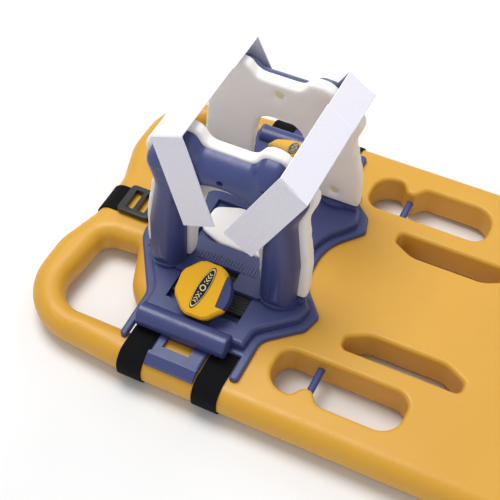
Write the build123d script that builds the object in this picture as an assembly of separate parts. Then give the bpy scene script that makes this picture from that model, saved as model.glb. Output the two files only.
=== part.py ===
"""Spine board with a strapped-on head immobiliser, in millimetres.

Frame: origin under the middle of the board, +Z up, head end at -X, patient's left at +Y.
The right-hand pieces are modelled first; the left-hand ones are their mirror images.
"""
from build123d import *
import os
from math import radians, tan

# --- board -------------------------------------------------------------------
BOARD_LENGTH = 1830.0
BOARD_WIDTH = 406.0
BOARD_BOTTOM = 5.0            # the moulding stands this high on its two runners
BOARD_TOP = 44.0
EDGE_ROUND = 18.0             # outer rim
HANDLE_ROUND = 16.0           # rim of the corner openings, so that the handles are tubes
HOLE_ROUND = 5.0              # rim of the hand holes
WALL = 4.0
INNER_CHAMFER = 9.0           # rim of the hollow and of the foam in it
PIN_BITE = 5.5
FOAM_GAP = 0.3
HEAD_END = -BOARD_LENGTH / 2
FOOT_END = BOARD_LENGTH / 2
HALF_WIDTH = BOARD_WIDTH / 2

# --- hand holes and their strap pins -------------------------------------------
PIN_RADIUS = 4.0
PIN_Z = 26.0
FIRST_PIN_X = -574.0
PIN_PITCH = 258.0
PIN_COUNT = 5                 # on each side
HOLE_IN_Y = 113.0
HOLE_OUT_Y = 164.0
PINCH_Y = 150.0               # the rim comes in to this line beside each pin
SLOT_IN_Y = 60.5
SLOT_OUT_Y = 88.5
ROD_RADIUS = 6.0
ROD_Y = 100.8                 # between the hand holes and the inner slots
ROD_LENGTH = 1340.0
ROD_CENTRE_X = 20.0

# --- runners ------------------------------------------------------------------
RUNNER_Y = 20.0
RUNNER_WIDTH = 22.0
RUNNER_START = -500.0
RUNNER_END = 780.0

# --- head immobiliser base -------------------------------------------------------
HEAD_X = -712.0               # line through both ear openings
BASE_BOTTOM = BOARD_TOP + 0.2
FLANGE_TOP = 50.0
DECK_TOP = 60.0
DECK_OUT_Y = 142.0
TAB_OUT_Y = 186.0
TAB_LIP_Y = 197.0
STRAP_X = (HEAD_X - 43.5, HEAD_X + 45.0)
WEBBING_WIDTH = 29.0
WEBBING_THICK = 1.6
WINDOW_HALF = 43.0
WINDOW_IN_Y = 46.0
WINDOW_OUT_Y = 120.0
WINDOW_FLOOR = 50.0
BAR_RADIUS = 13.0
BAR_Y = 150.0
BAR_Z = 58.0
BAR_START = HEAD_X - 57.0
BAR_END = HEAD_X + 47.0
BUCKLE_X = (HEAD_X - 160, HEAD_X - 118)
BUCKLE_HALF = 21.0            # half its width
END_STRAP_Y = -7.0            # middle of the strap at the head end
END_STRAP_WIDTH = 38.0
BUCKLE_Z = (BOARD_TOP + 2.4, BOARD_TOP + 8)
PAD_HALF_X = 54.0
PAD_HALF_Y = 29.0
SADDLE_FLOOR = 54.0
HEAD_PAD_TOP = 62.0

# --- sliding blocks ----------------------------------------------------------------
TRAVEL = 32.5                 # each block slides this far across the board
SLIDE_GAP = 0.3
INNER_Y = 49.0                # inner face of a block at deck level, at its inner stop
LEAN = 5.86                   # degrees, towards the head
LEAN_SLOPE = tan(radians(LEAN))
CARRIAGE_TOP = 64.5
PAD_THICK = 16.0
SHELL_DEPTH = 20.0
SHELL_WALL = 3.0
SHELL_ROUND = 16.0
FIT_GAP = 0.3
LEG_X = 66.0                  # each leg's middle, from the ear opening's middle
RACK_TOP = 57.2
RACK_TOOTH = 4.0
STUD_PLACES = ((0.0, 150.0), (-LEG_X, 22.0), (LEG_X, 22.0))
STUD_RADIUS = 2.5

# --- knobs -------------------------------------------------------------------------
KNOB_Y = 116.0
KNOB_Z = 90.0
KNOB_TILT = 30.0
KNOB_X = HEAD_X + 1.0
CAP_RADIUS = 31.0
CAP_HEIGHT = 11.0
DRUM_FOOT = 15.0              # the drum's underside, below the cap's top face
CAP_SKIN = 2.5
DRUM_RADIUS = 27.5
STEM_RADIUS = 5.0
STEM_TOP = 9.0
STEM_CLEARANCE = 0.05
NOTCH_X = 19.0

# --- head straps ---------------------------------------------------------------------
STRAP_WIDTH = 38.0
STRAP_THICK = 1.5
STRAP_LAYER = 2.1             # the right half lies this much above the left one
STRAP_DROP = 110.0
FOREHEAD = (-58.0, 243.0, -20.0, -20.0)   # x from the ear opening, z, tilt of the bed and of the hanging end
CHIN = (79.0, 229.0, 38.0, 30.0)
STRAP_FACE = 38.5             # hanging ends lie this far out from a block's inner face
LAP_RIGHT = 44.0              # free end of each right half, in Y
LAP_LEFT = 5.0


def outline(corners):
    """A face inside straight lines through corners (x, y, radius), each corner rounded."""
    points = [(x, y) for x, y, radius in corners]
    radii = [radius for x, y, radius in corners]
    return make_face(FilletPolyline(*points, radius=radii, close=True).edges())


def both_sides(corners):
    """Corners of a shape that mirrors in the X axis, from those with y above zero."""
    return corners + [(x, -y, radius) for x, y, radius in reversed(corners)]


def left_and_right(shapes):
    return shapes + [mirror(shape, about=Plane.XZ) for shape in shapes]


def box(x, y, z):
    """A box between the two ends of each range."""
    middle = [(low + high) / 2 for low, high in (x, y, z)]
    size = [abs(high - low) for low, high in (x, y, z)]
    return Pos(*middle) * Box(*size)


def rod(start, end, radius):
    """A round bar between two points."""
    path = Vector(*end) - Vector(*start)
    return Plane(start, z_dir=path) * Cylinder(radius, path.length, align=(Align.CENTER, Align.CENTER, Align.MIN))


# --- board ------------------------------------------------------------------------
def board_outline():
    head = [(HEAD_END + 17, 30, 40), (HEAD_END, 84, 60), (HEAD_END, 189, 76)]
    side = [(HEAD_END + 155, HALF_WIDTH, 300), (540, HALF_WIDTH, 500)]
    foot = [(FOOT_END, 158, 62)]
    return outline(both_sides(head + side + foot))


def corner_opening():
    """The D-shaped opening behind the left corner handle at the head end."""
    corners = [
        (HEAD_END + 87, 54, 8), (HEAD_END + 44, 57, 14), (HEAD_END + 35, 163, 38),
        (HEAD_END + 169, 163, 9), (HEAD_END + 137, 136, 28), (HEAD_END + 108, 107, 40),
    ]
    return outline(corners)


def foot_opening():
    corners = [(838, 24, 14), (878, 24, 16), (878, 118, 20), (838, 122, 18)]
    return outline(corners)


def pin_places():
    return [FIRST_PIN_X + index * PIN_PITCH for index in range(PIN_COUNT)]


def hand_hole(x):
    """A hand hole on the left, with the small lobe and the pinched rim beside its pin."""
    corners = [
        (x - 44, HOLE_IN_Y, 17), (x - 44, HOLE_OUT_Y, 24), (x - 14, HOLE_OUT_Y, 9),
        (x - 5, PINCH_Y, 7), (x + 5, PINCH_Y, 7), (x + 16, HOLE_OUT_Y, 9),
        (x + 100, HOLE_OUT_Y, 24), (x + 100, HOLE_IN_Y, 17),
    ]
    return outline(corners)


def inner_slot(x):
    """A D-shaped slot on the left, straight along its outer edge."""
    corners = [
        (x + 10, SLOT_OUT_Y, 7), (x + 10, SLOT_OUT_Y - 15, 6), (x + 34, SLOT_IN_Y, 30),
        (x + 118, SLOT_IN_Y, 30), (x + 142, SLOT_OUT_Y - 15, 6), (x + 142, SLOT_OUT_Y, 7),
    ]
    return outline(corners)


def moulding(inset):
    """The board without its runners, or its inner shape, inset and with chamfered rims."""
    plan = board_outline()
    places = pin_places()
    holes = [corner_opening(), foot_opening()]
    holes += [hand_hole(x) for x in places]
    holes += [inner_slot(x) for x in places[::2]]
    for hole in left_and_right(holes):
        plan -= hole
    if inset:
        plan = offset(plan, -inset)
    thick = BOARD_TOP - BOARD_BOTTOM - 2 * inset
    body = Pos(0, 0, BOARD_BOTTOM + inset) * extrude(plan, thick)
    if inset:
        body = chamfer(outer_rims(body), INNER_CHAMFER)
        return chamfer(handle_rims(body), INNER_CHAMFER)
    for rims, radius in ((outer_rims, EDGE_ROUND), (handle_rims, HANDLE_ROUND), (hole_rims, HOLE_ROUND)):
        body = fillet(rims(body), radius)
    return body


def flat_sides(body):
    faces = body.faces().sort_by(Axis.Z)
    return [faces[0], faces[-1]]


def outer_rims(body):
    return [edge for side in flat_sides(body) for edge in side.outer_wire().edges()]


def inner_rims(body, at_head_end):
    """Edges of the holes, of the two corner openings at the head end or of all the others."""
    wires = [wire for side in flat_sides(body) for wire in side.inner_wires()]
    chosen = [wire for wire in wires if (wire.center().X < HEAD_END + 170) == at_head_end]
    return [edge for wire in chosen for edge in wire.edges()]


def handle_rims(body):
    return inner_rims(body, True)


def hole_rims(body):
    return inner_rims(body, False)


def pin_rods(radius, bite):
    """Bars across the hand holes, each let into the board by bite at both ends."""
    start = HOLE_IN_Y - bite
    end = PINCH_Y + bite
    return left_and_right([rod((x, start, PIN_Z), (x, end, PIN_Z), radius) for x in pin_places()])


def rods(radius, length):
    low = ROD_CENTRE_X - length / 2
    high = ROD_CENTRE_X + length / 2
    middle = (BOARD_BOTTOM + BOARD_TOP) / 2
    return left_and_right([rod((low, ROD_Y, middle), (high, ROD_Y, middle), radius)])


def runners():
    pair = left_and_right([box((RUNNER_START, RUNNER_END), (RUNNER_Y, RUNNER_Y + RUNNER_WIDTH), (0, BOARD_BOTTOM + 2))])
    return [chamfer(runner.edges().group_by(Axis.Z)[0], 3) for runner in pair]


def board_shell():
    shell = moulding(0) - moulding(WALL)
    for runner in runners():
        shell += runner
    for hole in pin_rods(PIN_RADIUS + FOAM_GAP, PIN_BITE + 0.4):
        shell -= hole
    return shell


def foam_core():
    core = moulding(WALL + FOAM_GAP)
    for hole in pin_rods(PIN_RADIUS + FOAM_GAP, PIN_BITE + 0.4) + rods(ROD_RADIUS + FOAM_GAP, ROD_LENGTH + 1):
        core -= hole
    return core


def strap_pins():
    return Compound(pin_rods(PIN_RADIUS, PIN_BITE))


def stiffener_rods():
    return Compound(rods(ROD_RADIUS, ROD_LENGTH))


# --- head immobiliser base -----------------------------------------------------
def flange_outline():
    """The base's plan with its flaps, the strap slots between them and the side tabs."""
    head = [
        (HEAD_X - 115, 46, 38), (HEAD_X - 69, 116, 24), (HEAD_X - 68, 178, 5),
        (HEAD_X - 60, 178, 3), (HEAD_X - 60, 149, 1),
    ]
    tab = [
        (HEAD_X - 27.5, 149, 1), (HEAD_X - 27.5, TAB_OUT_Y, 2),
        (HEAD_X + 29, TAB_OUT_Y, 2), (HEAD_X + 29, 149, 1),
    ]
    foot = [
        (HEAD_X + 61, 149, 1), (HEAD_X + 61, 178, 3), (HEAD_X + 71, 178, 5),
        (HEAD_X + 71, 121, 20), (HEAD_X + 108, 88, 10), (HEAD_X + 114, 66, 6),
        (HEAD_X + 81, 28, 60),
    ]
    return outline(both_sides(head + tab + foot))


def deck_outline():
    corners = [
        (HEAD_X - 106, 42, 34), (HEAD_X - 60, 114, 24), (HEAD_X - 60, DECK_OUT_Y, 2),
        (HEAD_X + 60, DECK_OUT_Y, 2), (HEAD_X + 62, 118, 16), (HEAD_X + 99, 84, 8),
        (HEAD_X + 103, 67, 5), (HEAD_X + 72, 27, 60),
    ]
    return outline(both_sides(corners))


def tab_lip():
    """The thick outer edge of a side tab, curling down over the rim of the board."""
    section = [
        (TAB_OUT_Y - 2, BASE_BOTTOM), (TAB_OUT_Y - 2, FLANGE_TOP + 2), (TAB_OUT_Y + 2, FLANGE_TOP + 2),
        (TAB_LIP_Y, FLANGE_TOP - 4), (TAB_LIP_Y, FLANGE_TOP - 8.5), (TAB_OUT_Y + 4, BASE_BOTTOM),
    ]
    face = make_face(Polyline(*[(HEAD_X - 27.5, y, z) for y, z in section], close=True))
    return extrude(face, 56.5, dir=(1, 0, 0))


def base_plate():
    flange = Pos(0, 0, BASE_BOTTOM) * extrude(flange_outline(), FLANGE_TOP - BASE_BOTTOM)
    flange = fillet(flange.faces().sort_by(Axis.Z)[-1].edges(), 2.5)
    deck = Pos(0, 0, BASE_BOTTOM) * extrude(deck_outline(), DECK_TOP - BASE_BOTTOM)
    deck = fillet(deck.faces().sort_by(Axis.Z)[-1].edges(), 4)
    base = flange + deck
    window_x = (HEAD_X - WINDOW_HALF, HEAD_X + WINDOW_HALF)
    cuts = [box(window_x, (WINDOW_IN_Y, WINDOW_OUT_Y), (WINDOW_FLOOR, DECK_TOP + 1))]
    tunnel_x = (HEAD_X - WINDOW_HALF - 2, HEAD_X + WINDOW_HALF + 2)
    cuts.append(box(tunnel_x, (WINDOW_IN_Y, DECK_OUT_Y + 1), (WINDOW_FLOOR, RACK_TOP + 0.4)))
    cuts.append(box((HEAD_X - 18, HEAD_X + 13), (160, 174), (BASE_BOTTOM - 1, FLANGE_TOP + 1)))
    for x in STRAP_X:
        half = WEBBING_WIDTH / 2 + 1
        cuts.append(box((x - half, x + half), (127, 160), (BASE_BOTTOM - 1, BASE_BOTTOM + 2.4)))
    for lip in left_and_right([tab_lip()]):
        base += lip
    for cut in left_and_right(cuts):
        base -= cut
    base -= box((HEAD_X - PAD_HALF_X - 1, HEAD_X + PAD_HALF_X + 1), (-PAD_HALF_Y - 1, PAD_HALF_Y + 1),
                (SADDLE_FLOOR, DECK_TOP + 1))
    half = END_STRAP_WIDTH / 2 + 2
    base -= box((HEAD_X - 120, HEAD_X - 96), (END_STRAP_Y - half, END_STRAP_Y + half), (0, BASE_BOTTOM + 2.4))
    return base


def head_pad():
    """Occipital pad: a tapered cushion, wider towards the shoulders."""
    corners = [(HEAD_X - PAD_HALF_X, 18, 10), (HEAD_X - 26, PAD_HALF_Y, 14), (HEAD_X + PAD_HALF_X, PAD_HALF_Y, 8)]
    pad = extrude(outline(both_sides(corners)), HEAD_PAD_TOP - SADDLE_FLOOR - 0.2)
    pad = fillet(pad.faces().sort_by(Axis.Z)[-1].edges(), 3)
    return Pos(0, 0, SADDLE_FLOOR + 0.2) * pad


def side_bar():
    """Half-round roll along the deck's outer edge."""
    bar = rod((BAR_START, -BAR_Y, BAR_Z), (BAR_END, -BAR_Y, BAR_Z), BAR_RADIUS)
    bar = chamfer(bar.edges(), 1.5)
    bar -= box((BAR_START - 1, BAR_END + 1), (-DECK_OUT_Y - 0.3, 0), (0, DECK_TOP + 0.2))
    return above(bar, FLANGE_TOP + 0.2)


def base_strap(x):
    """Webbing that leaves one side slot, goes under the board and comes back on the other side."""
    low = BOARD_BOTTOM - 0.3
    high = BOARD_TOP + 0.3
    middle = Pos(0, (low + high) / 2)
    inner = middle * RectangleRounded(2 * HALF_WIDTH + 0.8, high - low, EDGE_ROUND)
    loop = offset(inner, WEBBING_THICK) - inner
    loop -= Pos(0, BOARD_TOP) * Rectangle(2 * 129, 2 * EDGE_ROUND)
    section = Plane((x - WEBBING_WIDTH / 2, 0, 0), x_dir=(0, 1, 0), z_dir=(1, 0, 0)) * loop
    return extrude(section, WEBBING_WIDTH, dir=(1, 0, 0))


def head_end_strap():
    """Webbing from the base to the buckle, and from the buckle round the head end to the first base strap."""
    start = HEAD_END + 17 - 0.6
    low = BOARD_BOTTOM - 0.3
    high = BOARD_TOP + 0.3
    middle = (low + high) / 2
    inner = Pos(start + 150, middle) * RectangleRounded(300, high - low, EDGE_ROUND)
    loop = offset(inner, WEBBING_THICK) - inner
    loop -= Pos(STRAP_X[0] - WEBBING_WIDTH / 2 + 150, middle) * Rectangle(300, 60)
    loop -= Pos(HEAD_X - 97 + 150, BOARD_TOP) * Rectangle(300, 2 * EDGE_ROUND)
    loop -= Pos(sum(BUCKLE_X) / 2, BOARD_TOP) * Rectangle(BUCKLE_X[1] - BUCKLE_X[0] - 14, 2 * EDGE_ROUND)
    edge = END_STRAP_Y + END_STRAP_WIDTH / 2
    section = Plane((0, edge, 0), x_dir=(1, 0, 0), z_dir=(0, -1, 0)) * loop
    return extrude(section, END_STRAP_WIDTH, dir=(0, -1, 0))


def head_end_buckle():
    """Ladder-lock frame over the gap in the webbing, whose ends turn round its two outer bars."""
    y = (END_STRAP_Y - BUCKLE_HALF, END_STRAP_Y + BUCKLE_HALF)
    frame = fillet(box(BUCKLE_X, y, BUCKLE_Z).edges().filter_by(Axis.Z), 5)
    frame = fillet(frame.faces().sort_by(Axis.Z)[-1].edges(), 1.5)
    for centre in (-7.5, 7.5):
        x = sum(BUCKLE_X) / 2 + centre
        frame -= box((x - 5, x + 5), (y[0] + 7, y[1] - 7), (BOARD_TOP, BUCKLE_Z[1] + 1))
    return frame


# --- knob on the right-hand side ---------------------------------------------
def knob_frame():
    """Middle of the cap's top face; its own z axis is the way the knob pulls out."""
    return Location((KNOB_X, -KNOB_Y, KNOB_Z), (KNOB_TILT, 0, 0))


def above(shape, level):
    """The part of a shape above a level."""
    return shape - box((-1000, 0), (-300, 300), (level - 200, level))


def cap_outline():
    facets = RegularPolygon(CAP_RADIUS - 1.2, 8, major_radius=False, rotation=22.5)
    return Circle(CAP_RADIUS) & facets


def disc(radius, top, bottom):
    """A disc on the knob's axis, between two depths under the cap's top face."""
    return Pos(0, 0, -bottom) * extrude(Circle(radius), bottom - top)


def knob_cap():
    cap = Pos(0, 0, -CAP_HEIGHT) * extrude(cap_outline(), CAP_HEIGHT)
    cap = chamfer(cap.faces().sort_by(Axis.Z)[-1].edges(), 2.5)
    cap -= disc(DRUM_RADIUS + 0.05, CAP_SKIN, CAP_HEIGHT + 1)
    cap -= box((NOTCH_X, 60), (-12, 60), (-20, 1))
    return knob_frame() * cap


def knob_drum():
    """Blue drum under the cap, with the thumb rest that fills the cap's cut-out."""
    rest = disc(CAP_RADIUS - 1.2, 1.1, DRUM_FOOT) & box((NOTCH_X + 0.2, 60), (-11.8, 60), (-DRUM_FOOT, 0))
    drum = disc(DRUM_RADIUS, CAP_SKIN, DRUM_FOOT) + rest
    drum -= disc(STEM_RADIUS, STEM_TOP, DRUM_FOOT + 1)
    return knob_frame() * drum


def knob_label():
    plate = extrude(Ellipse(6.2, 24.5), 0.8)
    return knob_frame() * Pos(-1, 0, 0.02) * plate


def knob_stem():
    """Steel stem whose lower end is cut level with the deck, just over the brake rack."""
    stem = disc(STEM_RADIUS, STEM_TOP, 60)
    return above(knob_frame() * stem, RACK_TOP + SLIDE_GAP)


def knob_housing():
    """Collar round the stem, on a bracket that stands on the deck outside the window."""
    bracket = box((KNOB_X - 15, KNOB_X + 15), (-135, -104), (DECK_TOP, 69))
    bracket = fillet(bracket.edges().filter_by(Axis.Z), 4)
    housing = knob_frame() * disc(13, DRUM_FOOT + 0.5, 30) + bracket
    housing -= knob_frame() * disc(STEM_RADIUS + STEM_CLEARANCE, 0, 60)
    housing -= knob_frame() * disc(60, -30, DRUM_FOOT + 0.5)
    return above(housing, DECK_TOP + 0.02)


# --- sliding block on the right-hand side, at its inner stop ---------------------
def block_frame():
    """Foot of the block's inner face under the ear opening, leaning towards the head."""
    return Location((HEAD_X, -INNER_Y, DECK_TOP), (-LEAN, 0, 0))


def standing(face, start, depth):
    """A plan drawn as x and height, standing on the block's inner face, thickened outwards."""
    plane = Plane((0, -start, 0), x_dir=(1, 0, 0), z_dir=(0, -1, 0))
    return extrude(plane * face, depth, dir=(0, -1, 0))


def both_legs(corners):
    """Corners of a shape that mirrors in its own upright axis, from those with x above zero."""
    return corners + [(-x, height, radius) for x, height, radius in reversed(corners)]


def pad_outline():
    corners = [
        (42, -8, 1), (96, -8, 2), (97, 52, 40), (87, 113, 24), (99, 146, 15), (56, 183, 12),
        (36, 184, 12), (25, 168, 9),
    ]
    arch = [(-24, 112, 22), (-31, 80, 30), (-38, 40, 60)]
    return outline(both_legs(corners) + [(x, height, radius) for x, height, radius in reversed(arch)]
                   + [(-x, height, radius) for x, height, radius in arch])


def shell_outline():
    corners = [
        (46, -8, 1), (86, -8, 2), (87, 52, 40), (79, 108, 24), (91, 140, 13), (57, 178, 11),
        (38, 178, 11), (28, 165, 9),
    ]
    return outline(both_legs(corners) + [(-46, 130, 45), (46, 130, 45)])


def block_pad():
    pad = standing(pad_outline(), 0, PAD_THICK)
    for x, height in STUD_PLACES:
        pad -= rod((x, 1, height), (x, -5, height), 7.5)
        pad -= rod((x, 1, height), (x, -PAD_THICK - 1, height), STUD_RADIUS + FIT_GAP)
    return above(block_frame() * pad, CARRIAGE_TOP + 0.2)


def block_shell():
    """Blue arch: an open-backed moulding whose legs are nearly half round."""
    start = PAD_THICK + FIT_GAP
    outer = standing(shell_outline(), start, SHELL_DEPTH)
    outer = fillet(outer.faces().sort_by(Axis.Y)[0].edges(), SHELL_ROUND)
    inner = standing(offset(shell_outline(), -SHELL_WALL), start - 1, SHELL_DEPTH + 1 - SHELL_WALL)
    inner = fillet(inner.faces().sort_by(Axis.Y)[0].edges(), SHELL_ROUND - SHELL_WALL)
    shell = outer - inner
    for x, height in STUD_PLACES:
        boss = rod((x, -start, height), (x, -start - SHELL_DEPTH + 2, height), 5)
        shell += boss
        shell -= rod((x, -start + 1, height), (x, -start - 12, height), STUD_RADIUS)
    access_height = STUD_PLACES[0][1]
    shell -= rod((0, -start - 12, access_height), (0, -start - 40, access_height), 3.6)
    return above(block_frame() * shell, CARRIAGE_TOP + 0.02)


def pad_studs():
    studs = []
    for x, height in STUD_PLACES:
        head = rod((x, -3.1, height), (x, -4.6, height), 6)
        shank = rod((x, -4.5, height), (x, -PAD_THICK - 11, height), STUD_RADIUS)
        studs.append(block_frame() * (head + shank))
    return Compound(studs)


def block_carriage():
    """Foot that joins the two legs and slides on the deck; its keels pass through the window."""
    foot = box((HEAD_X - 94, HEAD_X + 94), (-68, -47), (DECK_TOP + SLIDE_GAP, CARRIAGE_TOP))
    for side in (-1, 1):
        x = HEAD_X + side * LEG_X
        foot += Pos(x, -65, (DECK_TOP + SLIDE_GAP + CARRIAGE_TOP) / 2) * Cylinder(23, CARRIAGE_TOP - DECK_TOP - SLIDE_GAP)
    foot += box((HEAD_X - 50, HEAD_X + 50), (-84, -60), (DECK_TOP + SLIDE_GAP, CARRIAGE_TOP))
    foot -= box((KNOB_X - 16, KNOB_X + 16), (-90, -60.5), (DECK_TOP, CARRIAGE_TOP + 1))
    for rib in range(20):
        x = HEAD_X + (rib - 9.5) * 3.6
        foot += box((x - 1, x + 1), (-60.4, -48), (CARRIAGE_TOP - 1, CARRIAGE_TOP + 0.8))
    for side in (-1, 1):
        x = sorted((HEAD_X + side * 24, HEAD_X + side * 38))
        foot += box(x, (-60.5, -50), (RACK_TOP, DECK_TOP + 1))
    return foot - rack_screw_places(1.5)


def rack_screw_places(radius):
    places = [(HEAD_X + side * 31, y) for side in (-1, 1) for y in (-52.5, -57.5)]
    screws = [rod((x, y, RACK_TOP - 4.5), (x, y, RACK_TOP + 3), radius) for x, y in places]
    return screws


def brake_rack():
    """Dark serrated tongue under the carriage, on which the knob's stem bears."""
    x = (HEAD_X - WINDOW_HALF + 1, HEAD_X + WINDOW_HALF - 1)
    rack = box(x, (-107, -50), (WINDOW_FLOOR + SLIDE_GAP, RACK_TOP))
    for tooth in range(12):
        y = -104 + tooth * RACK_TOOTH
        rack -= Pos(HEAD_X, y, RACK_TOP) * (Rot(45, 0, 0) * Box(84, 1.4, 1.4))
    for screw in rack_screw_places(1.5):
        rack -= screw
    return rack


def rack_screws():
    return Compound(rack_screw_places(1.5))


# --- head straps on the right-hand side ------------------------------------------
def head_strap(place, layer, free_end):
    """Half a strap: along Y over the block's flank, then down the face of its shell."""
    x, z, tilt, fall = place
    centre = Pos(HEAD_X + x, 0, z + layer)
    outer_y = -INNER_Y - STRAP_FACE + (z - DECK_TOP) * LEAN_SLOPE
    bed = centre * Rot(0, tilt, 0) * box((-STRAP_WIDTH / 2, STRAP_WIDTH / 2), (outer_y, free_end), (0, STRAP_THICK))
    hanging = box((-STRAP_WIDTH / 2, STRAP_WIDTH / 2), (-STRAP_THICK, 0), (-STRAP_DROP, STRAP_THICK))
    hanging = centre * Pos(0, outer_y + STRAP_THICK / 2, 0) * Rot(-LEAN, 0, 0) * Rot(0, fall, 0) * hanging
    return bed + hanging


# --- the whole part ----------------------------------------------------------------
def mirrored(shape, shift=0.0):
    return Pos(0, shift, 0) * mirror(shape, about=Plane.XZ)


def fixed_nodes():
    nodes = {
        "board_shell": board_shell(),
        "foam_core": foam_core(),
        "stiffener_rods": stiffener_rods(),
        "strap_pins": strap_pins(),
        "base_plate": base_plate(),
        "head_pad": head_pad(),
        "base_strap_head_side": base_strap(STRAP_X[0]),
        "base_strap_foot_side": base_strap(STRAP_X[1]),
        "head_end_strap": head_end_strap(),
        "head_end_buckle": head_end_buckle(),
    }
    for name, shape in {"side_bar": side_bar(), "knob_housing": knob_housing()}.items():
        nodes[name + "_right"] = shape
        nodes[name + "_left"] = mirrored(shape)
    return nodes


def knob_nodes():
    pieces = {
        "knob_cap": knob_cap(), "knob_drum": knob_drum(),
        "knob_label": knob_label(), "knob_stem": knob_stem(),
    }
    right = {name + "_right": shape for name, shape in pieces.items()}
    left = {name + "_left": mirrored(shape) for name, shape in pieces.items()}
    return right | left


def block_nodes():
    pieces = {
        "block_shell": block_shell(), "block_pad": block_pad(), "pad_studs": pad_studs(),
        "block_carriage": block_carriage(), "brake_rack": brake_rack(), "rack_screws": rack_screws(),
    }
    right = {name + "_right": shape for name, shape in pieces.items()}
    left = {name + "_left": mirrored(shape, TRAVEL) for name, shape in pieces.items()}
    for name, place in (("forehead_strap", FOREHEAD), ("chin_strap", CHIN)):
        right[name + "_right"] = head_strap(place, STRAP_LAYER, LAP_RIGHT)
        left[name + "_left"] = mirrored(head_strap(place, 0, TRAVEL - LAP_LEFT), TRAVEL)
    return right | left


def main():
    os.makedirs("parts", exist_ok=True)
    for name, shape in (fixed_nodes() | knob_nodes() | block_nodes()).items():
        export_step(shape, f"parts/{name}.step")


main()
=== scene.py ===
"""Looks of the spine board and head immobiliser: finishes, foam, straps and webbing."""
from math import cos, pi, radians, sin, tan

import bmesh
import bpy
from mathutils import Matrix, Vector


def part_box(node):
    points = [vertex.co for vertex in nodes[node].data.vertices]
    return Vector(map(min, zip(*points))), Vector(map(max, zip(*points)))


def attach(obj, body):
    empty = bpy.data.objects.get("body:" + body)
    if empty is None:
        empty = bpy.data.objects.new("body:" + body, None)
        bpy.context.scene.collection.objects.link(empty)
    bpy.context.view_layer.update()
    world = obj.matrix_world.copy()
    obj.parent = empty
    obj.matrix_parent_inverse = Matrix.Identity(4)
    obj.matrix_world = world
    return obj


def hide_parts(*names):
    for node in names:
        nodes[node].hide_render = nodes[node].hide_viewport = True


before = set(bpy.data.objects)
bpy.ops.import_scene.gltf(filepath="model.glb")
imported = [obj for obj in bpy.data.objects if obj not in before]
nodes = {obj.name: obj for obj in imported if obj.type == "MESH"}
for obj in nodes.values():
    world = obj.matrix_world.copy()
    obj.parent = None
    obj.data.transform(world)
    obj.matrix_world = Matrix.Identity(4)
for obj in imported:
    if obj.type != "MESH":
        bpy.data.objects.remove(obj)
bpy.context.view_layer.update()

# sizes in metres, as the part has them
HEAD_X = -0.712
DECK_Z = 0.060
BOARD_TOP = 0.044
BOARD_BOTTOM = 0.005
HALF_WIDTH = 0.203
HEAD_END = -0.915
EDGE_ROUND = 0.018
LEAN = radians(5.86)
INNER_Y = 0.049
TRAVEL = 0.0325

STRAP_WIDTH = 0.038
STRAP_THICK = 0.0015
STRAP_FACE = 0.0385            # from a block's inner face to the back that a strap hangs down
STRAP_DROP = 0.110
STRAP_LAYER = 0.0021           # how far the upper half of a head strap lies above the lower one
STRAP_OVERRUN = 0.0016        # how far a strap's flat part runs past the back of the block
STRAP_FOLD = 0.0004           # how far down the fold sits
STRAP_HANG_START = 0.002
# each strap's place: x from the blocks' middle, height, tilt across the head and tilt of its hanging end
FOREHEAD = (-0.058, 0.243, radians(-20), radians(-20))
CHIN = (0.079, 0.229, radians(38), radians(30))
RIGHT_END = 0.044             # where the halves end, measured across the board
LEFT_END = 0.005

WEBBING_WIDTH = 0.029
WEBBING_THICK = 0.0016
WEBBING_GAP = 0.0003          # between webbing and board
RIM_GAP = 0.0004
END_RIM_X = HEAD_END + 0.017 - 0.0006
WEBBING_START_Y = 0.129
WEBBING_X = (HEAD_X - 0.0435, HEAD_X + 0.045)
END_STRAP_Y = -0.007
END_STRAP_WIDTH = 0.038
BUCKLE_X = (HEAD_X - 0.160, HEAD_X - 0.118)
BUCKLE_BAR = 0.007            # from the buckle's edge to the middle of an outer bar
TAIL_START_X = HEAD_X - 0.097

KNOB_TILT = radians(30)
LABEL_HALF = (0.0062, 0.0245)
LABEL_THICK = 0.0008
LABEL_TURN = radians(11)
LABEL_SHIFT = (0.0005, 0.002)
LABEL_RIM = 0.0003
SHELL_START = 0.0163          # a shell's back, outwards from the inner face of its block
SHELL_DEPTH = 0.020
MERGE = 1e-5                  # corners closer than this are one


# --- camera, lights and floor ------------------------------------------------
def in_scene(name, data):
    """A new object that holds data, linked to the scene."""
    made = bpy.data.objects.new(name, data)
    bpy.context.scene.collection.objects.link(made)
    return made


def finished(bm, name, material):
    """The bmesh as a mesh of one material."""
    mesh = bpy.data.meshes.new(name)
    bm.to_mesh(mesh)
    bm.free()
    mesh.materials.append(material)
    return mesh


def make_camera():
    lens = bpy.data.cameras.new("camera")
    lens.sensor_width = 36
    lens.lens = 78.04
    lens.clip_start = 0.05
    camera = in_scene("camera", lens)
    camera.location = (-0.3641, -0.7152, 0.9833)
    camera.rotation_euler = (radians(39.81), 0, radians(25.99))
    bpy.context.scene.camera = camera


def soft_light(name, place, aim, size, power, tint=(1, 1, 1)):
    lamp = bpy.data.lights.new(name, "AREA")
    lamp.shape = "DISK"
    lamp.size = size
    lamp.energy = power
    lamp.color = tint
    light = in_scene(name, lamp)
    light.location = place
    light.rotation_euler = (Vector(aim) - Vector(place)).to_track_quat("-Z", "Y").to_euler()


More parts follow.
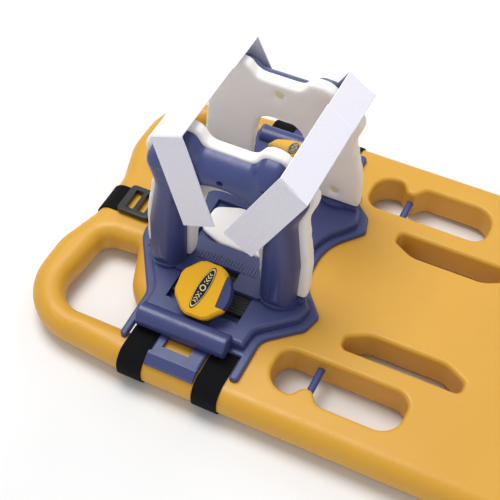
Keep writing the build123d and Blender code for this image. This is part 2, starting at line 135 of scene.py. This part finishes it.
def make_studio():
    soft_light("key", (-1.3, 0.3, 2.1), (-0.6, 0, 0.1), 1.2, 33)
    soft_light("fill", (0.7, -2.0, 1.6), (-0.5, 0, 0.1), 1.8, 7, (1, 0.98, 0.96))
    soft_light("rim", (-0.3, 2.0, 1.6), (-0.6, 0, 0.1), 1.4, 9, (0.96, 0.98, 1))
    world = bpy.data.worlds.new("studio")
    world.use_nodes = True
    background = world.node_tree.nodes["Background"]
    background.inputs["Color"].default_value = (1, 1, 1, 1)
    background.inputs["Strength"].default_value = 0.52
    bpy.context.scene.world = world
    bpy.context.scene.view_settings.view_transform = "Standard"


def make_floor(material):
    bm = bmesh.new()
    bmesh.ops.create_grid(bm, x_segments=1, y_segments=1, size=30)
    floor = in_scene("floor", finished(bm, "floor", material))


# --- building finishes from nodes --------------------------------------------
def add(tree, kind, inputs=(), **settings):
    """A node with its settings and its inputs, which are numbers, colours or the sockets that feed them."""
    node = tree.nodes.new(kind)
    for name, value in settings.items():
        setattr(node, name, value)
    for socket, value in dict(inputs).items():
        if isinstance(value, bpy.types.NodeSocket):
            tree.links.new(value, node.inputs[socket])
        else:
            node.inputs[socket].default_value = value
    return node


def rgba(colour):
    return (*colour, 1)


def combine(tree, operation, first, second=0.0):
    return add(tree, "ShaderNodeMath", {0: first, 1: second}, operation=operation).outputs[0]


def mixed(tree, share, first, second):
    """The colour between first and second by share, as a socket."""
    return add(tree, "ShaderNodeMix", {0: share, 6: first, 7: second}, data_type="RGBA").outputs[2]


def bump(tree, height, strength, distance, **below):
    """The surface's direction with height pressed into it, on top of another one where below gives it."""
    inputs = {"Height": height, "Strength": strength, "Distance": distance, **below}
    return add(tree, "ShaderNodeBump", inputs).outputs["Normal"]


def ranged(tree, value, low, high, new_low=0.0, new_high=1.0):
    inputs = {"Value": value, "From Min": low, "From Max": high, "To Min": new_low, "To Max": new_high}
    return add(tree, "ShaderNodeMapRange", inputs).outputs["Result"]


def noise(tree, where, scale, detail=3.0, roughness=0.55):
    inputs = {"Vector": where, "Scale": scale, "Detail": detail, "Roughness": roughness}
    return add(tree, "ShaderNodeTexNoise", inputs).outputs["Fac"]


def start_group(name, sockets):
    """A node group with its inputs and outputs; returns its tree, its input node and its output node."""
    group = bpy.data.node_groups.new(name, "ShaderNodeTree")
    for label, way, kind in sockets:
        group.interface.new_socket(name=label, in_out=way, socket_type="NodeSocket" + kind)
    return group, group.nodes.new("NodeGroupInput"), group.nodes.new("NodeGroupOutput")


def moulded_skin():
    """Moulded plastic: colour that drifts slowly, a fine grain, and gloss that varies with both."""
    group, given, made = start_group("moulded skin", [
        ("Vector", "INPUT", "Vector"), ("Colour", "INPUT", "Color"), ("Drift Colour", "INPUT", "Color"),
        ("Gloss Low", "INPUT", "Float"), ("Gloss High", "INPUT", "Float"), ("Grain", "INPUT", "Float"),
        ("Colour", "OUTPUT", "Color"), ("Roughness", "OUTPUT", "Float"), ("Normal", "OUTPUT", "Vector"),
    ])
    where = given.outputs["Vector"]
    drift = ranged(group, noise(group, where, 9.0), 0.35, 0.68)
    speckle = ranged(group, noise(group, where, 700.0, 2.0), 0.3, 0.7)
    colour = mixed(group, drift, given.outputs["Colour"], given.outputs["Drift Colour"])
    cloudy = ranged(group, noise(group, where, 42.0, 5.0), 0.3, 0.7)
    shine = combine(group, "MULTIPLY", cloudy, speckle)
    gloss = ranged(group, shine, 0.05, 0.7, given.outputs["Gloss Low"], given.outputs["Gloss High"])
    grain = bump(group, speckle, given.outputs["Grain"], 0.0002)
    ripple = bump(group, noise(group, where, 26.0), 0.09, 0.003, Normal=grain)
    group.links.new(colour, made.inputs["Colour"])
    group.links.new(gloss, made.inputs["Roughness"])
    group.links.new(ripple, made.inputs["Normal"])
    return group


def scuffs():
    """Fine light scratches in two directions, broken up so that they come in patches."""
    group, given, made = start_group("scuffs", [
        ("Vector", "INPUT", "Vector"), ("Amount", "INPUT", "Float"), ("Mask", "OUTPUT", "Float"),
    ])
    lines = []
    for turn, stretch in ((0.35, (30, 900, 200)), (-0.6, (800, 36, 200))):
        turned = add(group, "ShaderNodeMapping", {
            "Vector": given.outputs["Vector"], "Rotation": (0, 0, turn), "Scale": stretch,
        })
        streak = noise(group, turned.outputs["Vector"], 1.0, 2.0, 0.5)
        lines.append(ranged(group, streak, 0.66, 0.72))
    patches = ranged(group, noise(group, given.outputs["Vector"], 14.0), 0.5, 0.62)
    in_patches = combine(group, "MULTIPLY", combine(group, "MAXIMUM", *lines), patches)
    group.links.new(combine(group, "MULTIPLY", in_patches, given.outputs["Amount"]), made.inputs["Mask"])
    return group


def weave():
    """Woven tape: ribs along its length crossed by picks, from a flat map in metres."""
    group, given, made = start_group("weave", [
        ("Vector", "INPUT", "Vector"), ("Rib Count", "INPUT", "Float"), ("Pick Count", "INPUT", "Float"),
        ("Height", "OUTPUT", "Float"), ("Lint", "OUTPUT", "Float"),
    ])
    waves = []
    for direction, count in (("X", "Rib Count"), ("Y", "Pick Count")):
        wave = add(group, "ShaderNodeTexWave", {
            "Vector": given.outputs["Vector"], "Scale": given.outputs[count], "Distortion": 0.6, "Detail": 1.0,
        }, wave_type="BANDS", bands_direction=direction)
        waves.append(wave.outputs["Fac"])
    crossed = combine(group, "MULTIPLY", *waves)
    lint = ranged(group, noise(group, given.outputs["Vector"], 420.0, 4.0), 0.52, 0.75)
    group.links.new(combine(group, "ADD", waves[0], crossed), made.inputs["Height"])
    group.links.new(lint, made.inputs["Lint"])
    return group


def foam_pores():
    """Skinned foam: faint pores, soft hollows and a little grey and cream in the colour."""
    group, given, made = start_group("foam pores", [
        ("Vector", "INPUT", "Vector"), ("Colour", "INPUT", "Color"), ("Soiled", "INPUT", "Color"),
        ("Colour", "OUTPUT", "Color"), ("Normal", "OUTPUT", "Vector"),
    ])
    where = given.outputs["Vector"]
    cells = add(group, "ShaderNodeTexVoronoi", {"Vector": where, "Scale": 800.0})
    cells = ranged(group, cells.outputs["Distance"], 0.0, 0.5)
    pores = bump(group, cells, 0.25, 0.0003)
    hollows = bump(group, noise(group, where, 45.0, 2.0), 0.2, 0.004, Normal=pores)
    stain = ranged(group, noise(group, where, 17.0, 6.0), 0.42, 0.78)
    colour = mixed(group, stain, given.outputs["Colour"], given.outputs["Soiled"])
    group.links.new(colour, made.inputs["Colour"])
    group.links.new(hollows, made.inputs["Normal"])
    return group


SKIN = moulded_skin()
SCUFFS = scuffs()
WEAVE = weave()
PORES = foam_pores()


def start_material(name, **shader_values):
    """A material, its node tree, its shader, and the node with the piece's coordinates."""
    material = bpy.data.materials.new(name)
    material.use_nodes = True
    tree = material.node_tree
    shader = tree.nodes["Principled BSDF"]
    for socket, value in shader_values.items():
        shader.inputs[socket.replace("_", " ")].default_value = value
    place = add(tree, "ShaderNodeTexCoord")
    return material, tree, shader, place


def plastic(name, colour, drift, gloss, grain, scuff=0.0, scuff_colour=None, **values):
    """Moulded plastic, with light scuffs where scuff is above zero."""
    material, tree, shader, place = start_material(name, **values)
    where = place.outputs["Object"]
    skin = add(tree, "ShaderNodeGroup", {
        "Vector": where, "Colour": rgba(colour), "Drift Colour": rgba(drift),
        "Gloss Low": gloss[0], "Gloss High": gloss[1], "Grain": grain,
    }, node_tree=SKIN)
    base = skin.outputs["Colour"]
    if scuff:
        marks = add(tree, "ShaderNodeGroup", {"Vector": where, "Amount": scuff}, node_tree=SCUFFS)
        base = mixed(tree, marks.outputs["Mask"], base, rgba(scuff_colour))
    tree.links.new(base, shader.inputs["Base Color"])
    tree.links.new(skin.outputs["Roughness"], shader.inputs["Roughness"])
    tree.links.new(skin.outputs["Normal"], shader.inputs["Normal"])
    return material


def foam(name, colour, soiled):
    """Foam with a closed skin that is a little soiled in places."""
    material, tree, shader, place = start_material(
        name, Roughness=0.72, Sheen_Weight=0.15,
        Subsurface_Weight=0.08, Subsurface_Radius=(0.004, 0.003, 0.002))
    skin = add(tree, "ShaderNodeGroup", {
        "Vector": place.outputs["Object"], "Colour": rgba(colour), "Soiled": rgba(soiled),
    }, node_tree=PORES)
    tree.links.new(skin.outputs["Colour"], shader.inputs["Base Color"])
    tree.links.new(skin.outputs["Normal"], shader.inputs["Normal"])
    return material


def tape(name, thread, lint, rib_count, pick_count, height, roughness, sheen):
    """Woven tape whose threads follow its own flat map."""
    material, tree, shader, place = start_material(
        name, Roughness=roughness, Sheen_Weight=sheen, Specular_IOR_Level=0.15)
    cloth = add(tree, "ShaderNodeGroup", {
        "Vector": place.outputs["UV"], "Rib Count": rib_count, "Pick Count": pick_count,
    }, node_tree=WEAVE)
    colour = mixed(tree, cloth.outputs["Lint"], rgba(thread), rgba(lint))
    tree.links.new(colour, shader.inputs["Base Color"])
    tree.links.new(bump(tree, cloth.outputs["Height"], height, 0.0004), shader.inputs["Normal"])
    return material


def label_print():
    """Black oval plate with a thin pale border, a row of plain chevrons and a ring in the middle."""
    material, tree, shader, place = start_material("label print", Roughness=0.45, Specular_IOR_Level=0.25)
    flat = place.outputs["UV"]
    axes = add(tree, "ShaderNodeSeparateXYZ", {"Vector": flat})
    side = combine(tree, "ABSOLUTE", axes.outputs["X"])
    along = combine(tree, "ABSOLUTE", axes.outputs["Y"])

    def length(scale):
        scaled = add(tree, "ShaderNodeMapping", {"Vector": flat, "Scale": scale}).outputs["Vector"]
        return add(tree, "ShaderNodeVectorMath", {0: scaled}, operation="LENGTH").outputs["Value"]

    def band(value, low, high, edge):
        """One between low and high, with an edge that wide at each end."""
        above = ranged(tree, value, low, low + edge)
        below = ranged(tree, value, high, high - edge)
        return combine(tree, "MULTIPLY", above, below)

    border = band(length((1 / LABEL_HALF[0], 1 / LABEL_HALF[1], 0)), 0.86, 0.95, 0.02)
    stripes = combine(tree, "MODULO", combine(tree, "SUBTRACT", along, side), 0.0036)
    near_middle = ranged(tree, side, 0.0026, 0.0024)
    slanted = combine(tree, "MULTIPLY", ranged(tree, stripes, 0.0015, 0.0013), near_middle)
    chevrons = combine(tree, "MULTIPLY", slanted, band(along, 0.0055, 0.0170, 0.0002))
    ring = band(length((1, 1, 0)), 0.0022, 0.0036, 0.0002)
    printed = combine(tree, "MAXIMUM", combine(tree, "MAXIMUM", border, chevrons), ring)
    worn = ranged(tree, noise(tree, place.outputs["Object"], 300.0), 0.2, 0.5, 0.75, 1.0)
    black, pale = rgba((0.006, 0.006, 0.007)), rgba((0.72, 0.60, 0.30))
    ink = mixed(tree, combine(tree, "MULTIPLY", printed, worn), black, pale)
    tree.links.new(ink, shader.inputs["Base Color"])
    return material


def brushed_steel():
    """Steel with fine lines along the piece."""
    material, tree, shader, place = start_material("brushed steel", Metallic=1.0)
    turned = add(tree, "ShaderNodeMapping", {"Vector": place.outputs["Object"], "Scale": (900, 900, 30)})
    lines = noise(tree, turned.outputs["Vector"], 1.0, 4.0)
    tone = mixed(tree, lines, rgba((0.42, 0.42, 0.44)), rgba((0.62, 0.62, 0.63)))
    tree.links.new(tone, shader.inputs["Base Color"])
    tree.links.new(ranged(tree, lines, 0.2, 0.8, 0.22, 0.42), shader.inputs["Roughness"])
    return material


board_yellow = plastic("board yellow", (0.666, 0.347, 0.028), (0.64, 0.326, 0.026), (0.38, 0.54), 0.3,
                       0.2, (0.80, 0.5, 0.13))
base_blue = plastic("base blue", (0.046, 0.060, 0.185), (0.040, 0.052, 0.165), (0.32, 0.46), 0.3,
                    0.25, (0.14, 0.16, 0.3))
shell_blue = plastic("shell blue", (0.050, 0.064, 0.195), (0.043, 0.056, 0.175), (0.3, 0.44), 0.25,
                     0.2, (0.15, 0.17, 0.32))
knob_yellow = plastic("knob yellow", (0.80, 0.42, 0.006), (0.74, 0.37, 0.005), (0.42, 0.55), 0.12,
                      Specular_IOR_Level=0.3)
knob_blue = plastic("knob blue", (0.042, 0.054, 0.165), (0.038, 0.048, 0.15), (0.5, 0.62), 0.2,
                    Specular_IOR_Level=0.3)
pin_blue = plastic("pin blue", (0.055, 0.075, 0.24), (0.045, 0.06, 0.20), (0.3, 0.42), 0.15)
dark_plastic = plastic("dark plastic", (0.012, 0.014, 0.03), (0.009, 0.010, 0.02), (0.35, 0.5), 0.3)
buckle_black = plastic("buckle black", (0.012, 0.012, 0.014), (0.018, 0.018, 0.02), (0.28, 0.42), 0.2)
rack_rubber = plastic("rack rubber", (0.014, 0.014, 0.016), (0.02, 0.02, 0.022), (0.55, 0.7), 0.4)
stud_cream = plastic("stud cream", (0.78, 0.70, 0.42), (0.72, 0.64, 0.38), (0.45, 0.6), 0.2)
rod_resin = plastic("rod resin", (0.35, 0.33, 0.22), (0.30, 0.28, 0.2), (0.4, 0.6), 0.3)
core_foam = foam("core foam", (0.75, 0.68, 0.45), (0.68, 0.6, 0.38))
pad_foam = foam("pad foam", (0.90, 0.88, 0.87), (0.84, 0.81, 0.78))
strap_white = tape("strap white", (0.84, 0.83, 0.93), (0.88, 0.87, 0.95), 150, 150, 0.35, 0.85, 0.12)
webbing_black = tape("webbing black", (0.004, 0.004, 0.005), (0.010, 0.010, 0.011), 200, 330, 0.5, 0.9, 0.01)
steel = brushed_steel()
floor_paper = plastic("floor paper", (0.86, 0.86, 0.86), (0.85, 0.85, 0.85), (0.75, 0.85), 0.05)


def finish_node(name, material):
    mesh = nodes[name].data
    mesh.materials.clear()
    mesh.materials.append(material)


def finish_nodes():
    """Finishes for the CAD nodes that show as they are."""
    once = {
        "board_shell": board_yellow, "foam_core": core_foam, "stiffener_rods": rod_resin,
        "strap_pins": pin_blue, "base_plate": base_blue, "head_end_buckle": buckle_black,
    }
    for name, material in once.items():
        finish_node(name, material)
    twice = {
        "side_bar": base_blue, "knob_housing": dark_plastic, "knob_cap": knob_yellow,
        "knob_drum": knob_blue, "knob_stem": steel, "block_shell": shell_blue, "pad_studs": stud_cream,
        "block_carriage": shell_blue, "brake_rack": rack_rubber, "rack_screws": steel,
    }
    for side in ("right", "left"):
        for name, material in twice.items():
            finish_node(f"{name}_{side}", material)


# --- knob labels and block shells ----------------------------------------------
def make_labels():
    """Oval plates let into the knobs' faces, each turned a little on its knob."""
    print_material = label_print()
    for side, hand in (("right", 1), ("left", -1)):
        bm = bmesh.new()
        bmesh.ops.create_circle(bm, cap_ends=True, radius=1, segments=64)
        bmesh.ops.scale(bm, vec=(*LABEL_HALF, 1), verts=bm.verts)
        top = bmesh.ops.extrude_face_region(bm, geom=bm.faces[:])["geom"]
        raised = [item for item in top if isinstance(item, bmesh.types.BMVert)]
        bmesh.ops.translate(bm, vec=(0, 0, LABEL_THICK), verts=raised)
        bmesh.ops.recalc_face_normals(bm, faces=bm.faces)
        rim = [edge for edge in bm.edges if all(vert.co.z > LABEL_THICK / 2 for vert in edge.verts)]
        bmesh.ops.bevel(
            bm, geom=rim, offset=LABEL_RIM, segments=2, profile=0.5, material=-1, affect="EDGES")
        uv = bm.loops.layers.uv.new("flat map")
        for face in bm.faces:
            for loop in face.loops:
                loop[uv].uv = loop.vert.co.xy
        low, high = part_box(f"knob_label_{side}")
        tilted = Matrix.Rotation(hand * KNOB_TILT, 4, "X")
        seat = tilted @ Vector((LABEL_SHIFT[0], hand * LABEL_SHIFT[1], -LABEL_THICK / 2))
        spun = tilted @ Matrix.Rotation(-hand * LABEL_TURN, 4, "Z")
        bmesh.ops.transform(bm, matrix=Matrix.Translation((low + high) / 2 + seat) @ spun, verts=bm.verts)
        label = in_scene(f"label_plate_{side}", finished(bm, f"label_plate_{side}", print_material))
        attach(label, f"knob_{side}")
        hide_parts(f"knob_label_{side}")


def block_axes(side):
    """Foot of a block's inner face, and the ways out of the block and up along its lean."""
    hand, foot_y = (1, -INNER_Y) if side == "right" else (-1, INNER_Y + TRAVEL)
    out = Vector((0, -hand * cos(LEAN), sin(LEAN)))
    up = Vector((0, hand * sin(LEAN), cos(LEAN)))
    return Vector((HEAD_X, foot_y, DECK_Z)), out, up


def shape_shell(side, start=0.112, end=0.178, fall=0.011):
    """The blue arch with its upper part drawn down towards the outside, so that its crest slopes."""
    node = f"block_shell_{side}"
    foot, out, up = block_axes(side)
    mesh = nodes[node].data.copy()
    bm = bmesh.new()
    bm.from_mesh(mesh)
    bmesh.ops.remove_doubles(bm, verts=bm.verts, dist=MERGE)
    levels = [(foot + up * (start + (end - start) * step / 11), up) for step in range(12)]
    slices = [(foot + out * (SHELL_START + SHELL_DEPTH * step / 6), out) for step in range(1, 6)]
    for at, way in levels + slices:
        whole = bm.verts[:] + bm.edges[:] + bm.faces[:]
        bmesh.ops.bisect_plane(bm, geom=whole, plane_co=at, plane_no=way, dist=1e-6)
    for vert in bm.verts:
        reach = vert.co - foot
        rise = min(max((reach.dot(up) - start) / (end - start), 0), 1)
        depth = min(max((reach.dot(out) - SHELL_START) / SHELL_DEPTH, 0), 1)
        vert.co -= up * (fall * rise * rise * (3 - 2 * rise) * depth)
    bm.normal_update()
    for face in bm.faces:
        face.smooth = True
    for edge in bm.edges:
        edge.smooth = not edge.is_manifold or edge.calc_face_angle(0) < radians(32)
    bm.to_mesh(mesh)
    bm.free()
    mesh.materials.clear()
    mesh.materials.append(shell_blue)
    shell = in_scene(f"shell_arch_{side}", mesh)
    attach(shell, f"block_{side}")
    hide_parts(node)


# --- foam ------------------------------------------------------------------------
def foam_piece(name, node, voxel, rounds, body):
    """Moulded foam in the space of a CAD solid, its rims rounded over and its faces left full."""
    mesh = nodes[node].data.copy()
    bm = bmesh.new()
    bm.from_mesh(mesh)
    bmesh.ops.remove_doubles(bm, verts=bm.verts, dist=MERGE)
    bm.to_mesh(mesh)
    bm.free()
    rough = in_scene(name + "_rough", mesh)
    remesh = rough.modifiers.new("even skin", "REMESH")
    remesh.mode = "VOXEL"
    remesh.voxel_size = voxel
    evened = bpy.data.meshes.new_from_object(rough.evaluated_get(bpy.context.evaluated_depsgraph_get()))
    bpy.data.objects.remove(rough)
    bm = bmesh.new()
    bm.from_mesh(evened)
    for _ in range(rounds):
        bmesh.ops.smooth_vert(
            bm, verts=bm.verts, factor=0.5, use_axis_x=True, use_axis_y=True, use_axis_z=True)
    bmesh.ops.recalc_face_normals(bm, faces=bm.faces)
    bm.to_mesh(evened)
    bm.free()
    evened.materials.clear()
    evened.materials.append(pad_foam)
    for face in evened.polygons:
        face.use_smooth = True
    pad = in_scene(name, evened)
    fine = pad.modifiers.new("fine", "SUBSURF")
    fine.levels = fine.render_levels = 1
    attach(pad, body)
    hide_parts(node)


# --- straps and webbing ----------------------------------------------------------
def strip(name, path, width, thick, material, columns=9, softness=0.0004):
    """A flat strap along path, a list of (middle, across, outward, distance), with a map in metres.

    Its middle surface follows the path, each row lying along across.
    """
    bm = bmesh.new()
    offset = bm.verts.layers.float.new("offset")
    along = bm.verts.layers.float.new("along")
    row = []
    for column in range(columns):
        vert = bm.verts.new((0, 0, 0))
        vert[offset] = width * (column / (columns - 1) - 0.5)
        row.append(vert)
    edges = [bm.edges.new(pair) for pair in zip(row, row[1:])]

    def lay(verts, step):
        middle, across, outward, distance = step
        for vert in verts:
            vert.co = middle + across * vert[offset] - outward * (thick / 2)
            vert[along] = distance

    lay(row, path[0])
    for step in path[1:]:
        grown = bmesh.ops.extrude_edge_only(bm, edges=edges)["geom"]
        edges = [item for item in grown if isinstance(item, bmesh.types.BMEdge)]
        lay([item for item in grown if isinstance(item, bmesh.types.BMVert)], step)
    bm.normal_update()
    first = min(bm.faces, key=lambda face: (face.calc_center_median() - path[0][0]).length)
    if first.normal.dot(path[0][2]) < 0:
        bmesh.ops.reverse_faces(bm, faces=bm.faces)
    uv = bm.loops.layers.uv.new("flat map")
    for face in bm.faces:
        for loop in face.loops:
            loop[uv].uv = (loop.vert[offset], loop.vert[along])
    bmesh.ops.solidify(bm, geom=bm.faces[:], thickness=-thick)
    bmesh.ops.recalc_face_normals(bm, faces=bm.faces)
    strap = in_scene(name, finished(bm, name, material))
    soften = strap.modifiers.new("soft edges", "BEVEL")
    soften.width = softness
    soften.segments = 2
    soften.limit_method = "ANGLE"
    soften.angle_limit = radians(40)
    return strap


def with_distances(rows):
    """Adds how far along the strap each row lies."""
    path = []
    travelled = 0.0
    for index, (middle, across, outward) in enumerate(rows):
        if index:
            travelled += (middle - rows[index - 1][0]).length
        path.append((middle, across.normalized(), outward.normalized(), travelled))
    return path


def head_strap_rows(place, layer, free_end):
    """Rows of the right-hand half of a strap, from its free end to the foot of its hanging part."""
    x, z, tilt, fall = place
    centre = Vector((HEAD_X + x, 0, z + layer))
    turn = Matrix.Rotation(tilt, 3, "Y")
    outer_y = -INNER_Y - STRAP_FACE + (z - DECK_Z) * tan(LEAN)
    across = turn @ Vector((1, 0, 0))
    up = turn @ Vector((0, 0, 1))
    rows = []
    flat_steps, hang_steps = 18, 10
    for step in range(flat_steps + 1):
        y = free_end + (outer_y + STRAP_OVERRUN - free_end) * step / flat_steps
        rows.append((centre + Vector((0, y, 0)) + up * (STRAP_THICK / 2), across, up))
    leaned = Matrix.Rotation(-LEAN, 3, "X") @ Matrix.Rotation(fall, 3, "Y")
    down = leaned @ Vector((0, 0, -1))
    out = leaned @ Vector((0, -1, 0))
    edge = centre + Vector((0, outer_y + STRAP_THICK / 2, 0)) + out * (STRAP_THICK / 2)
    hanging_across = leaned @ Vector((1, 0, 0))
    rows.append((edge + down * STRAP_FOLD, across + hanging_across, up + out))
    for step in range(1, hang_steps + 1):
        reach = STRAP_HANG_START + (STRAP_DROP - STRAP_HANG_START) * step / hang_steps
        rows.append((edge + down * reach, hanging_across, out))
    return rows


def other_side(rows, shift=0.0):
    """The same rows mirrored to the left, and moved by shift."""
    def flip(vector):
        return Vector((vector.x, -vector.y, vector.z))
    return [(flip(middle) + Vector((0, shift, 0)), flip(across), flip(out)) for middle, across, out in rows]


def make_head_straps():
    """Two straps across the head, each in a right and a left half that lap in the middle."""
    for name, place in (("forehead_strap", FOREHEAD), ("chin_strap", CHIN)):
        right = head_strap_rows(place, STRAP_LAYER, RIGHT_END)
        left = other_side(head_strap_rows(place, 0.0, TRAVEL - LEFT_END), TRAVEL)
        for side, rows in (("right", right), ("left", left)):
            path = with_distances(rows)
            strap = strip(f"{name}_cloth_{side}", path, STRAP_WIDTH, STRAP_THICK, strap_white)
            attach(strap, f"block_{side}")
            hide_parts(f"{name}_{side}")


def round_rim(rows, start, end, radius, centre, to_row, steps=8):
    """Adds the rows of a bend about centre, from one angle to another."""
    for step in range(steps + 1):
        angle = start + (end - start) * step / steps
        outward = (cos(angle), sin(angle))
        rows.append(to_row(centre[0] + outward[0] * radius, centre[1] + outward[1] * radius, outward))


def base_strap_rows(x):
    """From one side slot round the rim, under the board and back to the other side slot."""
    gap = WEBBING_THICK / 2 + WEBBING_GAP
    top, bottom = BOARD_TOP + gap, BOARD_BOTTOM - gap
    reach = HALF_WIDTH + RIM_GAP + WEBBING_THICK / 2
    radius = EDGE_ROUND + WEBBING_THICK / 2
    across = Vector((1, 0, 0))

    def place(y, z, outward):
        return Vector((x, y, z)), across, Vector((0, *outward))

    rows = []
    for step in range(5):
        y = -WEBBING_START_Y - (reach - radius - WEBBING_START_Y) * step / 5
        rows.append(place(y, top, (0, 1)))
    round_rim(rows, pi / 2, pi, radius, (-reach + radius, top - radius), place)
    round_rim(rows, pi, 1.5 * pi, radius, (-reach + radius, bottom + radius), place)
    for step in range(1, 20):
        rows.append(place(-(reach - radius) * (1 - step / 10), bottom, (0, -1)))
    round_rim(rows, 1.5 * pi, 2 * pi, radius, (reach - radius, bottom + radius), place)
    round_rim(rows, 0, pi / 2, radius, (reach - radius, top - radius), place)
    for step in range(1, 6):
        y = reach - radius - (reach - radius - WEBBING_START_Y) * step / 5
        rows.append(place(y, top, (0, 1)))
    return rows


def end_strap_row(x, z, outward):
    """One row of the webbing at the head end, which lies across the board."""
    return Vector((x, END_STRAP_Y, z)), Vector((0, -1, 0)), Vector((outward[0], 0, outward[1]))


def head_end_rows():
    """From the buckle's outer bar, round the head end and back to the first base strap."""
    gap = WEBBING_THICK / 2 + WEBBING_GAP
    top, bottom = BOARD_TOP + gap, BOARD_BOTTOM - gap
    start = END_RIM_X - WEBBING_THICK / 2
    radius = EDGE_ROUND + WEBBING_THICK / 2
    outer_bar = BUCKLE_X[0] + BUCKLE_BAR
    under_end = WEBBING_X[0] - WEBBING_WIDTH / 2 - 0.001
    run = start + radius - outer_bar
    rows = [end_strap_row(outer_bar + run * step / 4, top, (0, 1)) for step in range(4)]
    round_rim(rows, pi / 2, pi, radius, (start + radius, top - radius), end_strap_row)
    round_rim(rows, pi, 1.5 * pi, radius, (start + radius, bottom + radius), end_strap_row)
    for step in range(1, 11):
        x = start + radius + (under_end - start - radius) * step / 10
        rows.append(end_strap_row(x, bottom, (0, -1)))
    return rows


def base_tail_rows():
    """From the base to the buckle's inner bar."""
    top = BOARD_TOP + WEBBING_THICK / 2 + WEBBING_GAP
    run = BUCKLE_X[1] - BUCKLE_BAR - TAIL_START_X
    return [end_strap_row(TAIL_START_X + run * step / 4, top, (0, 1)) for step in range(5)]


def webbing_piece(name, rows, width, *stands_for):
    """A run of black webbing on the board, in place of the CAD nodes it stands for."""
    belt = strip(name, with_distances(rows), width, WEBBING_THICK, webbing_black)
    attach(belt, "board")
    if stands_for:
        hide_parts(*stands_for)


def make_webbing():
    for end, x in zip(("head", "foot"), WEBBING_X):
        rows = base_strap_rows(x)
        webbing_piece(f"base_webbing_{end}_side", rows, WEBBING_WIDTH, f"base_strap_{end}_side")
    webbing_piece("end_webbing", head_end_rows(), END_STRAP_WIDTH, "head_end_strap")
    webbing_piece("end_webbing_tail", base_tail_rows(), END_STRAP_WIDTH)


make_camera()
make_studio()
make_floor(floor_paper)
finish_nodes()
make_labels()
for side in ("right", "left"):
    foam_piece(f"block_foam_{side}", f"block_pad_{side}", 0.0025, 7, f"block_{side}")
    shape_shell(side)
foam_piece("head_cushion", "head_pad", 0.0018, 6, "board")
make_head_straps()
make_webbing()
